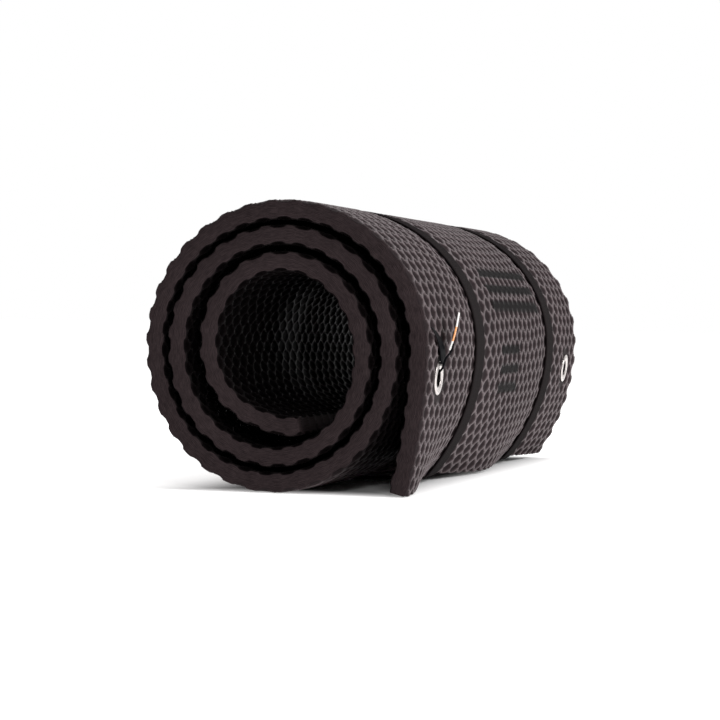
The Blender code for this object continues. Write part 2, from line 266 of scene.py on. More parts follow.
def hollow(along, length):
    """0 on a ridge to 1 in the middle of a hollow, for places on the flat sheet."""
    row = length / ROW
    nearest = np.round(row)
    depth = np.zeros(np.broadcast(along, length).shape)
    for shift in (-1, 0, 1):
        j = nearest + shift
        dy = (row - j) / HOLLOW_HALF_HEIGHT
        dx = along / PITCH + 0.5 * np.mod(j, 2)
        dx = (dx - np.round(dx)) / HOLLOW_HALF_LENGTH
        depth = np.maximum(depth, 1 - (np.abs(dx) ** HOLLOW_POINT + np.abs(dy) ** HOLLOW_POINT))
    return smooth(depth * 1.7)


# ---- objects and materials ----------------------------------------------------------------------


def link(obj):
    bpy.context.scene.collection.objects.link(obj)
    return obj


def plane(name, corners, material):
    """A backdrop of one face."""
    data = bpy.data.meshes.new(name)
    data.from_pydata(corners, [], [(0, 1, 2, 3)])
    data.materials.append(material)
    return link(bpy.data.objects.new(name, data))


def mesh_object(name, verts, faces, smooth_shade=True):
    data = bpy.data.meshes.new(name)
    data.from_pydata([tuple(v) for v in verts], [], faces)
    data.update()
    if smooth_shade:
        data.shade_smooth()
    return link(bpy.data.objects.new(name, data))


def mark(obj, name, values):
    """Gives every vertex a value, or a vector, that the object's material reads by name."""
    values = np.asarray(values, float)
    kind, key = ("FLOAT_VECTOR", "vector") if values.ndim > 1 else ("FLOAT", "value")
    obj.data.attributes.new(name, kind, "POINT").data.foreach_set(key, values.ravel())


def ring_faces(rings, count):
    """Quads over closed rings of so many points each, with the last ring joined to the first."""
    faces = []
    for j in range(rings):
        n = (j + 1) % rings
        for i in range(count):
            m = (i + 1) % count
            faces.append((j * count + i, j * count + m, n * count + m, n * count + i))
    return faces


def fix_normals(obj, merge=None):
    """Turns every face outwards, after merging points nearer to each other than merge."""
    shape = bmesh.new()
    shape.from_mesh(obj.data)
    if merge:
        bmesh.ops.remove_doubles(shape, verts=shape.verts, dist=merge)
    bmesh.ops.recalc_face_normals(shape, faces=shape.faces)
    shape.to_mesh(obj.data)
    shape.free()


class Nodes:
    """Short words for building a material's node tree."""

    def __init__(self, name):
        self.material = bpy.data.materials.new(name)
        self.material.use_nodes = True
        self.tree = self.material.node_tree
        self.shader = self.tree.nodes["Principled BSDF"]

    def new(self, kind, **settings):
        node = self.tree.nodes.new(kind)
        for key, value in settings.items():
            setattr(node, key, value)
        return node

    def put(self, value, socket):
        if isinstance(value, bpy.types.NodeSocket):
            self.tree.links.new(value, socket)
        else:
            socket.default_value = value

    def math(self, operation, a, b=0.0, clamp=False):
        node = self.new("ShaderNodeMath", operation=operation, use_clamp=clamp)
        self.put(a, node.inputs[0])
        self.put(b, node.inputs[1])
        return node.outputs[0]

    def ramp(self, value, low, high, to_low=0.0, to_high=1.0):
        node = self.new("ShaderNodeMapRange", interpolation_type="SMOOTHSTEP", clamp=True)
        for socket, item in zip(node.inputs, (value, low, high, to_low, to_high)):
            self.put(item, socket)
        return node.outputs[0]

    def mix(self, factor, a, b):
        node = self.new("ShaderNodeMix", data_type="RGBA")
        self.put(factor, node.inputs[0])
        self.put(a, node.inputs[6])
        self.put(b, node.inputs[7])
        return node.outputs[2]

    def split(self, vector):
        node = self.new("ShaderNodeSeparateXYZ")
        self.put(vector, node.inputs[0])
        return node.outputs

    def shaded(self, colour, brightness):
        """The colour times a brightness."""
        grey = self.new("ShaderNodeCombineColor")
        for socket in grey.inputs[:3]:
            self.put(brightness, socket)
        node = self.new("ShaderNodeMix", data_type="RGBA", blend_type="MULTIPLY")
        node.inputs[0].default_value = 1.0
        self.put(colour, node.inputs[6])
        self.put(grey.outputs[0], node.inputs[7])
        return node.outputs[2]

    def noise(self, vector, scale, detail=3.0, roughness=0.55):
        node = self.new("ShaderNodeTexNoise")
        self.put(vector, node.inputs["Vector"])
        node.inputs["Scale"].default_value = scale
        node.inputs["Detail"].default_value = detail
        node.inputs["Roughness"].default_value = roughness
        return node.outputs["Fac"]

    def bump(self, height, distance, strength=1.0, normal=None):
        node = self.new("ShaderNodeBump")
        node.inputs["Strength"].default_value = strength
        node.inputs["Distance"].default_value = distance
        self.put(height, node.inputs["Height"])
        if normal is not None:
            self.put(normal, node.inputs["Normal"])
        return node.outputs["Normal"]

    def finish(self, **sockets):
        for key, value in sockets.items():
            self.put(value, self.shader.inputs[key.replace("_", " ")])
        return self.material


def hollow_depth(n, along, length):
    """The same hollows as the mesh's, drawn finely: above 0 inside a hollow, 1 in its middle."""
    row = n.math("DIVIDE", length, ROW)
    nearest = n.math("ROUND", row)
    base = n.math("DIVIDE", along, PITCH)
    depth = 0.0
    for shift in (-1.0, 0.0, 1.0):
        j = n.math("ADD", nearest, shift)
        dy = n.math("DIVIDE", n.math("SUBTRACT", row, j), HOLLOW_HALF_HEIGHT)
        odd = n.math("FLOORED_MODULO", j, 2.0)
        dx = n.math("ADD", base, n.math("MULTIPLY", odd, 0.5))
        dx = n.math("DIVIDE", n.math("SUBTRACT", dx, n.math("ROUND", dx)), HOLLOW_HALF_LENGTH)
        dx = n.math("POWER", n.math("ABSOLUTE", dx), HOLLOW_POINT)
        dy = n.math("POWER", n.math("ABSOLUTE", dy), HOLLOW_POINT)
        inside = n.math("SUBTRACT", 1.0, n.math("ADD", dx, dy))
        depth = inside if shift < 0 else n.math("MAXIMUM", depth, inside)
    return depth


def light_left(n, length, across):
    """The inner face, and the outer one once the next turn covers it, see little light."""
    by_side = n.ramp(across, -0.5, 0.5, INNER_LIGHT, 1.0)
    covered = n.ramp(length, COVERED_FROM, COVERED_FROM + 0.05, 1.0, COVERED_LIGHT)
    inner = n.ramp(across, -0.5, 0.5, 1.0, 0.0)
    return n.math("MINIMUM", by_side, n.math("MAXIMUM", covered, inner))


def pressed_layers(n, where, length, across):
    """0 to 1 over a cut edge: thin layers that run along the sheet, in broken streaks."""
    waver = n.math("MULTIPLY", n.math("SUBTRACT", n.noise(where, 60.0, 2.0), 0.5), 0.16)
    layers = n.math("MULTIPLY", n.math("ADD", across, waver), 34.0)
    line = n.math("MULTIPLY", n.math("ADD", n.math("SINE", layers), 1.0), 0.5)
    strand = n.new("ShaderNodeCombineXYZ")
    n.put(n.math("MULTIPLY", length, 160.0), strand.inputs[0])
    n.put(n.math("MULTIPLY", across, 6.5), strand.inputs[1])
    streak = n.ramp(n.noise(strand.outputs[0], 1.0, 3.0, 0.6), 0.30, 0.70)
    return n.math("ADD", n.math("MULTIPLY", line, 0.45), n.math("MULTIPLY", streak, 0.55))


def foam_material():
    """Charcoal foam: painted shade in the hollows and painted highlight on the ridges, stripes, and
    layered cut edges.
    """
    n = Nodes("foam_look")
    place = n.new("ShaderNodeAttribute", attribute_name="sheet")
    along, length, across = n.split(place.outputs["Vector"])
    patch = n.new("ShaderNodeAttribute", attribute_name="plain").outputs["Fac"]
    block = n.new("ShaderNodeAttribute", attribute_name="block").outputs["Fac"]
    where = n.new("ShaderNodeTexCoord").outputs["Object"]

    depth = hollow_depth(n, along, length)
    # How far into a hollow's floor: it carries the painted shade there
    floor = n.ramp(depth, 0.15, 0.80)
    plain = n.math("SUBTRACT", 1.0, n.math("MAXIMUM", patch, block), clamp=True)
    ridge = n.math("MULTIPLY", n.ramp(depth, 0.03, 0.38, 1.0, 0.0), plain)
    cut = n.ramp(n.math("ABSOLUTE", across), 0.985, 0.999, 1.0, 0.0)
    face = n.math("SUBTRACT", 1.0, cut, clamp=True)
    # Ridges get a painted highlight in their colour and are glossier than the foam, except at the
    # sheet's cut ends
    near_rim = n.ramp(along, 0.0, RIM_FADE)
    far_rim = n.ramp(along, SHEET_WIDTH - RIM_FADE, SHEET_WIDTH, 1.0, 0.0)
    rim = n.math("ADD", n.math("MULTIPLY", n.math("MULTIPLY", near_rim, far_rim), 0.8), 0.2)
    light = light_left(n, length, across)
    pale = n.math("MULTIPLY", n.math("MULTIPLY", ridge, rim), light)

    face_colour = n.mix(pale, FOAM, RIDGE_PAINTED_HIGHLIGHT)
    face_colour = n.mix(n.math("MULTIPLY", floor, 0.7), face_colour, HOLLOW_PAINTED_SHADE)
    face_colour = n.mix(n.math("MULTIPLY", patch, 0.8), face_colour, FOAM_PATCH)
    face_colour = n.mix(n.math("MULTIPLY", block, 0.9), face_colour, FOAM_STRIPE)
    dimness = n.ramp(light, INNER_LIGHT, 1.0, 1.0 - INNER_LIGHT, 0.0)
    face_colour = n.mix(dimness, face_colour, BLACK)
    line = pressed_layers(n, where, length, across)
    colour = n.mix(cut, face_colour, n.mix(line, CUT_DARK, CUT_LIGHT))

    fine = n.noise(where, 900.0, 4.0, 0.6)
    broad = n.noise(where, 14.0, 3.0, 0.5)
    tone = n.ramp(broad, 0.25, 0.75, 0.88, 1.10)
    speck = n.ramp(fine, 0.2, 0.8, 0.90, 1.08)
    colour = n.shaded(colour, n.math("MULTIPLY", tone, speck))

    raised = n.math("MULTIPLY", ridge, face)
    height = n.math("ADD", raised, n.math("MULTIPLY", n.math("MULTIPLY", line, cut), 0.12))
    normal = n.bump(height, 0.0007, 0.8)
    normal = n.bump(fine, 0.00012, 0.5, normal)
    gloss = n.math("MULTIPLY", n.ramp(across, -0.5, 0.5, 0.20, 0.17), rim)
    return n.finish(
        Base_Color=colour, Roughness=n.ramp(fine, 0.2, 0.8, 0.42, 0.60), Normal=normal,
        Specular_IOR_Level=n.math("ADD", n.math("MULTIPLY", raised, gloss), 0.008),
    )


def elastic_material():
    """Near-black webbing: ribs along the band, finer picks across it, and a little fuzz."""
    n = Nodes("elastic_look")
    place = n.new("ShaderNodeAttribute", attribute_name="strap")
    across, along, _ = n.split(place.outputs["Vector"])
    ribs = n.math("SINE", n.math("MULTIPLY", across, 2 * math.pi / 0.0016))
    picks = n.math("SINE", n.math("MULTIPLY", along, 2 * math.pi / 0.0011))
    weave = n.math("ADD", n.math("MULTIPLY", ribs, 0.35), n.math("MULTIPLY", picks, 0.15))
    weave = n.math("ADD", weave, 0.5, clamp=True)
    where = n.new("ShaderNodeTexCoord").outputs["Object"]
    fuzz = n.noise(where, 700.0, 3.0)
    colour = n.mix(weave, ELASTIC_DARK, ELASTIC_LIGHT)
    colour = n.mix(n.math("MULTIPLY", fuzz, 0.3), colour, ELASTIC_FUZZ)
    normal = n.bump(n.math("ADD", weave, n.math("MULTIPLY", fuzz, 0.3)), 0.0003, 0.7)
    n.shader.inputs["Sheen Weight"].default_value = 0.03
    n.shader.inputs["Specular IOR Level"].default_value = 0.0
    return n.finish(Base_Color=colour, Roughness=0.82, Normal=normal)


def metal_material():
    """Bright metal with fine marks, with painted shade down in the eyelets' bores."""
    n = Nodes("eyelet_look")
    where = n.new("ShaderNodeTexCoord").outputs["Object"]
    marks = n.noise(where, 420.0, 3.0)
    colour = n.mix(n.ramp(marks, 0.35, 0.75), METAL_LIGHT, METAL_DULL)
    bore = n.new("ShaderNodeAttribute", attribute_name="bore").outputs["Fac"]
    # Painted shade down the bore
    colour = n.mix(bore, colour, BORE_PAINTED_SHADE)
    rough = n.ramp(marks, 0.2, 0.8, 0.20, 0.38)
    normal = n.bump(marks, 0.00004, 0.5)
    return n.finish(Base_Color=colour, Metallic=1.0, Roughness=rough, Normal=normal)


def card_material():
    """White card printed with an orange block and a few grey lines."""
    n = Nodes("card_look")
    place = n.new("ShaderNodeAttribute", attribute_name="print")
    up, side, _ = n.split(place.outputs["Vector"])
    low = n.math("GREATER_THAN", up, 0.24)
    high = n.math("LESS_THAN", up, 0.63)
    middle = n.math("MULTIPLY", low, high)
    fleck = n.noise(place.outputs["Vector"], 9.0, 2.0)
    white = n.mix(n.ramp(fleck, 0.3, 0.7), CARD_WHITE, CARD_WORN)
    colour = n.mix(middle, white, CARD_ORANGE)
    bars = n.math("GREATER_THAN", n.math("SINE", n.math("MULTIPLY", up, 150.0)), 0.2)
    zone = n.math("MULTIPLY", n.math("GREATER_THAN", up, 0.70), n.math("LESS_THAN", up, 0.90))
    inset = n.math("LESS_THAN", n.math("ABSOLUTE", n.math("SUBTRACT", side, 0.5)), 0.30)
    ink = n.math("MULTIPLY", n.math("MULTIPLY", bars, zone), inset)
    colour = n.mix(n.math("MULTIPLY", ink, 0.55), colour, CARD_INK)
    return n.finish(Base_Color=colour, Roughness=n.ramp(fleck, 0.2, 0.8, 0.34, 0.46))


def tie_material():
    """The black of the tag's cord, knot and ribbon, the ribbon being partly painted shadow of the
    card.
    """
    n = Nodes("tie_look")
    where = n.new("ShaderNodeTexCoord").outputs["Object"]
    grain = n.noise(where, 800.0, 2.0)
    colour = n.mix(grain, TIE_DARK, TIE_LIGHT)
    n.shader.inputs["Specular IOR Level"].default_value = 0.01
    return n.finish(Base_Color=colour, Roughness=n.ramp(grain, 0.2, 0.8, 0.42, 0.6))


# ---- the foam sheet -----------------------------------------------------------------------------

EYELET_LENGTH = LOOSE_END - EYELET_DROP


def row_shift(along, lengths, phases):
    """How far the rows of hollows stray from their even places."""
    shift = eased(along, ROW_SHIFTS)
    for (height, by_along, by_length), phase in zip(ROW_WAVES, phases):
        shift = shift + height * np.sin(along * by_along + lengths * by_length + phase)
    return shift


def plain_patch(along, length):
    """1 on the plain foam round an eyelet, 0 on the embossed foam."""
    near = np.full(np.broadcast(along, length).shape, 9.0)
    for place in EYELET_PLACES.values():
        near = np.minimum(near, np.hypot(along - place, length - EYELET_LENGTH))
    return 1 - smooth((near - SMOOTH_PATCH) / PATCH_FADE)


def printed_block(along, length):
    """1 on the plain printed stripes, 0 elsewhere."""
    inside = np.zeros(np.broadcast(along, length).shape)
    for a0, a1, s0, s1 in BLOCKS:
        past = np.maximum(
            np.maximum(a0 - along, along - a1), np.maximum(s0 - length, length - s1)
        )
        inside = np.maximum(inside, 1 - smooth((past + BLOCK_INSET) / BLOCK_FADE))
    return inside


def grid_places(size, step):
    """Places of the mesh's rows along a side of the sheet: its edges' and the pattern's."""
    inner = np.arange(1, int(size / step) + 1) * step
    inner = inner[(inner > FILLET_CLEAR) & (inner < size - FILLET_CLEAR)]
    return np.concatenate((FILLET, inner, [size - f for f in FILLET[::-1]]))


def drawn_in(count):
    """How far each of the rows is drawn in from the face: only the rounded edges' are."""
    drawn = np.zeros(count)
    drawn[: len(FILLET)], drawn[-len(FILLET) :] = FILLET_DRAWN_IN, FILLET_DRAWN_IN[::-1]
    return drawn


def sheet_points(alongs, lengths):
    """Points of both faces, and what the material reads there, by face, length and place along."""
    phases = RNG.uniform(0, 2 * math.pi, 6)
    swell_phases, edge_phases, row_phases = phases[:3], phases[3:5], phases[[5, 0]]
    shape = (2, len(lengths), len(alongs))
    verts, sheets = np.zeros((*shape, 3)), np.zeros((*shape, 3))
    plains, blocks = np.zeros(shape), np.zeros(shape)
    across_fillet, along_fillet = drawn_in(len(alongs)), drawn_in(len(lengths))
    for k, along in enumerate(alongs):
        points, normals, halves = middle_line(lengths, along)
        everywhere = np.full(len(lengths), along)
        pull = float(grip(along))
        rows = lengths + row_shift(along, lengths, row_phases)
        plain = plain_patch(everywhere, lengths)
        block = printed_block(everywhere, lengths)
        relief = HOLLOW_DEPTH * hollow(everywhere, rows) * (1 - 0.55 * pull) * (1 - plain)
        relief = relief + PATCH_DEPTH * plain
        swell = 0.0
        for (by_along, by_length), phase in zip(SWELL_WAVES, swell_phases):
            swell = swell + np.sin(lengths * by_length + along * by_along + phase)
        swell = swell * SWELL * (1 - pull)
        edge = 0.0
        for (height, by_length), phase in zip(EDGE_WAVES, edge_phases):
            edge = edge + height * np.sin(lengths * by_length + phase)
        near_end = float(max(0.0, 1 - min(along, SHEET_WIDTH - along) / EDGE_REACH))
        outer_relief = relief * (1 - block) + BLOCK_DEPTH * block
        for face, sign, sunk in ((0, 1.0, outer_relief), (1, -1.0, relief * INNER_SHARE)):
            out = halves - sunk - np.maximum(across_fillet[k], along_fillet) + sign * swell
            place = points + normals * (sign * out)[:, None]
            verts[face, :, k, 0] = place[:, 0] + ROLL_CENTRE.x
            verts[face, :, k, 1] = along - SHEET_WIDTH / 2 + edge * near_end
            verts[face, :, k, 2] = place[:, 1] + ROLL_CENTRE.z
            sheets[face, :, k] = np.stack((everywhere, rows, np.full(len(lengths), sign)), axis=-1)
            plains[face, :, k] = plain
            blocks[face, :, k] = 0.0 if face else block
    return verts, sheets, plains, blocks


def sheet_faces(alongs, lengths, per_pitch):
    """Faces over that grid: fine where the sheet can be seen, coarse along the roll elsewhere."""
    count_s, count_a = len(lengths), len(alongs)
    every = range(count_a)
    ends = 7  # rows at each cut end that stay fine
    inner = range(ends, count_a - ends, per_pitch)
    coarse = [*range(ends), *inner, *range(count_a - ends, count_a)]
    strips = lengths[:-1]
    outer_seen = strips < length_at(4 * QUARTER) + 0.01
    inner_seen = strips > length_at(SPIRAL_ANGLE - 4 * QUARTER) - 0.02
    inner_seen = inner_seen | (strips < LOOSE_END + 0.02)
    faces = []

    def at(face, i, k):
        return (face * count_s + i) * count_a + k

    def add(ring, flipped):
        faces.append(tuple(ring[::-1]) if flipped else tuple(ring))

    for face, seen in enumerate((outer_seen, inner_seen)):
        for i in range(count_s - 1):
            # A coarse strip takes all the points of a fine neighbour, so that no crack opens
            left_fine = i == 0 or seen[i - 1]
            right_fine = i == count_s - 2 or seen[i + 1]
            stops = every if seen[i] else coarse
            for low, high in zip(stops, stops[1:]):
                left = range(low, high + 1) if left_fine else (low, high)
                right = range(low, high + 1) if right_fine else (low, high)
                ring = [at(face, i, k) for k in left]
                ring += [at(face, i + 1, k) for k in reversed(right)]
                add(ring, face == 1)
    for i in range(count_s - 1):
        for k in (0, count_a - 1):
            add((at(0, i, k), at(0, i + 1, k), at(1, i + 1, k), at(1, i, k)), k > 0)
    for i in (0, count_s - 1):
        for k in range(count_a - 1):
            add((at(0, i, k), at(0, i, k + 1), at(1, i, k + 1), at(1, i, k)), i == 0)
    return faces


def make_sheet():
    """The whole foam sheet as one closed mesh, before its eyelet holes are cut."""
    per_pitch, per_row = ((8, 4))
    alongs = grid_places(SHEET_WIDTH, PITCH / per_pitch)
    lengths = grid_places(SHEET_LENGTH, ROW / per_row)
    verts, sheets, plains, blocks = sheet_points(alongs, lengths)
    faces = sheet_faces(alongs, lengths, per_pitch)

    used = np.zeros(verts.size // 3, bool)
    used[[v for ring in faces for v in ring]] = True
    renumber = np.cumsum(used) - 1
    faces = [tuple(int(renumber[v]) for v in ring) for ring in faces]
    obj = mesh_object("foam_sheet", verts.reshape(-1, 3)[used], faces)
    mark(obj, "sheet", sheets.reshape(-1, 3)[used])
    mark(obj, "plain", plains.ravel()[used])
    mark(obj, "block", blocks.ravel()[used])
    return obj


def eyelet_place(along):
    """Matrix of a place in the middle of the loose end's thickness, with its Z outwards."""
    points, normals, _ = middle_line([EYELET_LENGTH], along)
    out = Vector((normals[0][0], 0.0, normals[0][1]))
    across = Vector((0.0, 1.0, 0.0))
    up = out.cross(across)
    turn = Matrix((across, up, out)).transposed()
    if turn.determinant() < 0:
        turn = Matrix((across, -up, out)).transposed()
    place = Vector((points[0][0], along - SHEET_WIDTH / 2, points[0][1]))
    place += Vector((ROLL_CENTRE.x, 0.0, ROLL_CENTRE.z))
    return Matrix.Translation(place) @ turn.to_4x4()


def punch_sheet(sheet):
    """Cuts the eyelets' holes through the sheet."""
    for side, along in EYELET_PLACES.items():
        place = eyelet_place(along)
        shape = bmesh.new()
        bmesh.ops.create_cone(
            shape, cap_ends=True, segments=64, radius1=HOLE_RADIUS, radius2=HOLE_RADIUS, depth=0.04
        )
        data = bpy.data.meshes.new(f"punch_{side}")
        shape.to_mesh(data)
        shape.free()
        tool = link(bpy.data.objects.new(f"punch_{side}", data))
        tool.matrix_world = place
        bpy.context.view_layer.update()
        cut = sheet.modifiers.new(f"punch_{side}", "BOOLEAN")
        cut.object = tool
        cut.operation = "DIFFERENCE"
        cut.solver = "EXACT"
        bpy.context.view_layer.objects.active = sheet
        with bpy.context.temp_override(object=sheet, active_object=sheet, selected_objects=[sheet]):
            bpy.ops.object.modifier_apply(modifier=cut.name)
        bpy.data.objects.remove(tool)


# ---- bands --------------------------------------------------------------------------------------


def hull(points):
    """Convex outline round 2D points, anticlockwise."""
    points = sorted({(round(float(x), 7), round(float(y), 7)) for x, y in points})

    def chain(ordered):
        kept = []
        for p in ordered:
            while len(kept) > 1:
                (ax, ay), (bx, by) = kept[-2], kept[-1]
                if (bx - ax) * (p[1] - ay) - (by - ay) * (p[0] - ax) > 1e-12:
                    break
                kept.pop()
            kept.append(p)
        return kept[:-1]

    return np.array(chain(points) + chain(points[::-1]))


def resampled(outline, spacing):
    """The closed outline at even spacing."""
    closed = np.vstack((outline, outline[:1]))
    walk = np.concatenate(([0.0], np.cumsum(np.linalg.norm(np.diff(closed, axis=0), axis=1))))
    count = max(24, int(walk[-1] / spacing))
    at = np.linspace(0, walk[-1], count, endpoint=False)
    return np.stack([np.interp(at, walk, closed[:, i]) for i in (0, 1)], axis=-1), at, walk[-1]


def make_band(name, along):
    """Elastic webbing round the squeezed roll: a soft rectangle, swept round its hull."""
    # The hull of the roll is that of its outer turn, which is under this share of the spiral
    lengths = np.linspace(0, LOOSE_END + SPIRAL_LENGTHS[-1] * 0.45, 900)
    points, normals, halves = middle_line(lengths, along)
    outline = hull(points + normals * halves[:, None])
    loop, at, total = resampled(outline, 0.003)
    for _ in range(2):
        loop = 0.5 * loop + 0.25 * (np.roll(loop, 1, axis=0) + np.roll(loop, -1, axis=0))
    tangent = np.roll(loop, -1, axis=0) - np.roll(loop, 1, axis=0)
    tangent /= np.linalg.norm(tangent, axis=1)[:, None]
    normal = np.stack((tangent[:, 1], -tangent[:, 0]), axis=-1)
    half, deep = BAND_WIDTH / 2, BAND_THICKNESS
    profile = []
    steps = 14
    for i in range(steps + 1):
        t = -1 + 2 * i / steps
        side = t * half
        crown = BAND_CROWN * (1 - t * t)
        fall = BAND_RIM_FALL * max(0.0, (abs(t) - 0.9) / 0.1) ** 2
        profile.append((side, GAP + deep + crown - fall))
    profile += [(half + BAND_BULGE, GAP + deep * 0.55)]
    profile += [(half - 2 * half * i / 6, GAP) for i in range(7)]
    profile += [(-half - BAND_BULGE, GAP + deep * 0.55)]
    verts, marks = [], []
    for j in range(len(loop)):
        wander = BAND_WANDER * math.sin(2 * math.pi * at[j] / total * 2 + 0.7)
        for side, out in profile:
            p = loop[j] + normal[j] * out
            y = along - SHEET_WIDTH / 2 + side + wander
            verts.append((p[0] + ROLL_CENTRE.x, y, p[1] + ROLL_CENTRE.z))
            marks.append((side, at[j], out))
    obj = mesh_object(f"{name}_webbing", verts, ring_faces(len(loop), len(profile)))
    mark(obj, "strap", marks)
    fix_normals(obj)
    return obj


# ---- eyelets and tag ----------------------------------------------------------------------------


def lathe(name, profile, place, segments=96):
    """A closed ring turned about its local Z from a closed profile of (radius, height)."""
    verts = []
    for j in range(segments):
        angle = 2 * math.pi * j / segments
        for r, z in profile:
            verts.append(place @ Vector((r * math.cos(angle), r * math.sin(angle), z)))
    obj = mesh_object(name, verts, ring_faces(segments, len(profile)))
    fix_normals(obj)
    # Points down the bore get painted shade
    mark(obj, "bore", [float(r < BORE_RADIUS and z < BORE_SHADE) for r, z in profile] * segments)
    return obj


def arc(cx, cz, rx, rz, start, end, steps):
    """Points of an oval's arc round (cx, cz), between two angles in degrees."""
    angles = [math.radians(start + (end - start) * i / steps) for i in range(steps + 1)]
    return [(cx + rx * math.cos(angle), cz + rz * math.sin(angle)) for angle in angles]


def make_eyelet(side, along):
    """An eyelet through the sheet and the washer it is clenched over, on the inner face."""
    place = eyelet_place(along)
    top, bottom = HALF_THICKNESS - 0.0006, -HALF_THICKNESS
    # A rolled rim: domed outside, curling down into the bore, with a plain barrel behind
    profile = arc(0.0102, top - 0.0009, 0.0023, 0.0009, 0, 90, 8)
    profile += arc(0.0102, top - 0.0014, 0.0036, 0.0014, 90, 180, 8)
    profile += [(0.0065, bottom - 0.0006), (0.0067, bottom - 0.0008)]
    profile += [(0.0076, bottom - 0.0007), (0.0078, bottom - 0.0004)]
    profile += [(0.0070, bottom - 0.0003), (0.0070, top - 0.0016), (0.0122, top - 0.0014)]
    eyelet = lathe(f"eyelet_rim_{side}", profile, place)
    front = bottom + 0.0010
    washer = [(0.0072, front - 0.0001), (0.0075, front), (0.0110, front)]
    washer += [(0.0115, front - 0.0003), (0.0114, front - 0.0006), (0.0090, front - 0.0007)]
    washer += [(0.0075, front - 0.0007), (0.0072, front - 0.0005)]
    return eyelet, lathe(f"eyelet_washer_{side}", washer, place)


def tube(name, points, radius):
    """A smooth cord through points."""
    curve = bpy.data.curves.new(name, "CURVE")
    curve.dimensions = "3D"
    curve.bevel_depth = radius
    curve.bevel_resolution = 4
    curve.use_fill_caps = True
    spline = curve.splines.new("NURBS")
    spline.points.add(len(points) - 1)
    for p, co in zip(spline.points, points):
        p.co = (*co, 1.0)
    spline.order_u = 4
    spline.use_endpoint_u = True
    spline.resolution_u = 6
    source = link(bpy.data.objects.new(name, curve))
    bpy.context.view_layer.update()
    dg = bpy.context.evaluated_depsgraph_get()
    data = bpy.data.meshes.new_from_object(source.evaluated_get(dg))
    bpy.data.objects.remove(source)
    data.shade_smooth()
    return link(bpy.data.objects.new(name, data))


def make_tag():
    """A printed card standing off the foam, and its black tie through the near eyelet."""
    place = eyelet_place(EYELET_PLACES["near"])
    origin, out = place.to_translation(), place.to_3x3().col[2]
    centre = origin + CARD_OFFSET
    long_way = CARD_LONG_WAY.normalized()
    short_way = (CARD_SHORT_WAY - long_way * CARD_SHORT_WAY.dot(long_way)).normalized()
    face = short_way.cross(long_way).normalized()
    length, width, thick = CARD_SIZE
    columns, rows = 8, 16
    verts, marks, faces = [], [], []
    for side in (1, -1):
        for i in range(rows + 1):
            for j in range(columns + 1):
                u, v = i / rows, j / columns
                curl = 0.0009 * math.sin(math.pi * u) * 0.8 + 0.0003 * math.sin(math.pi * v)
                p = centre + long_way * ((u - 0.5) * length) + short_way * ((v - 0.5) * width)
                p += face * (side * thick / 2 + curl - 0.0004)
                verts.append(p)
                marks.append((u, v, side))
    stride = columns + 1
    back = (rows + 1) * stride
    for i in range(rows):
        for j in range(columns):
            a = i * stride + j
            faces.append((a, a + 1, a + 1 + stride, a + stride))
            faces.append((back + a, back + a + stride, back + a + 1 + stride, back + a + 1))
    border = [*range(columns)] + [i * stride + columns for i in range(rows)]
    border += [rows * stride + j for j in range(columns, 0, -1)]
    border += [i * stride for i in range(rows, 0, -1)]
    for a, b in zip(border, border[1:] + border[:1]):
        faces.append((a, back + a, back + b, b))
    card = mesh_object("swing_card", verts, faces, smooth_shade=False)
    fix_normals(card)
    mark(card, "print", marks)

    foot = centre - long_way * (length / 2)
    hole = foot + long_way * 0.0045
    knot_z = -HALF_THICKNESS - 0.0019
    rim = origin + out * (HALF_THICKNESS + 0.0010)
    route = [
        origin + out * knot_z,
        origin + Vector((0, 0, 0.0010)),
        rim + Vector((-0.0014, 0, 0.0040)),
        rim + Vector((0.0012, 0, 0.0095)),
        rim + Vector((0.0024, -0.0010, 0.0150)),
        foot - long_way * 0.001 + face * 0.0014,
        hole + face * 0.0014,
        hole + face * 0.0002,
    ]
    cord = tube("tie_cord", route, CORD_RADIUS)
    return card, cord, make_ribbon_and_card_shadow(origin, out), make_knot(place, knot_z)


def make_ribbon_and_card_shadow(origin, out):
    """The tie's black ribbon, partly painted shadow of the card: a tapered leaf that runs up the
    foam and stands off it.
    """
    edges = []
    steps = 20
    for i in range(steps + 1):
        t = i / steps
        spine = Vector((0, 0, 0))
        for weight, point in zip(((1 - t) ** 2, 2 * t * (1 - t), t * t), RIBBON_AND_SHADOW_SPINE):
            spine += point * weight
        taper = math.sin(math.pi * min(1.0, 0.06 + t * 0.94) ** 0.62) ** 0.9
        half = RIBBON_AND_SHADOW_HALF_WIDTH * taper + 0.0004
        lean = Vector((0, 0.90, -0.30 + 0.5 * t)).normalized()
        edges.append((spine - lean * half, spine + lean * half))
    verts, faces = [], []
    for low, high in edges:
        for p in (low, high):
            offset = out * RIBBON_AND_SHADOW_HALF_THICKNESS
            verts += [origin + p + offset, origin + p - offset]
    for i in range(steps):
        a, b = 4 * i, 4 * i + 4
        faces += [(a, a + 2, b + 2, b), (a + 1, b + 1, b + 3, a + 3)]
        faces += [(a, b, b + 1, a + 1), (a + 2, a + 3, b + 3, b + 2)]
    faces += [(0, 1, 3, 2), (4 * steps, 4 * steps + 2, 4 * steps + 3, 4 * steps + 1)]
    obj = mesh_object("tie_ribbon_and_card_shadow", verts, faces, smooth_shade=False)
    fix_normals(obj)
    return obj


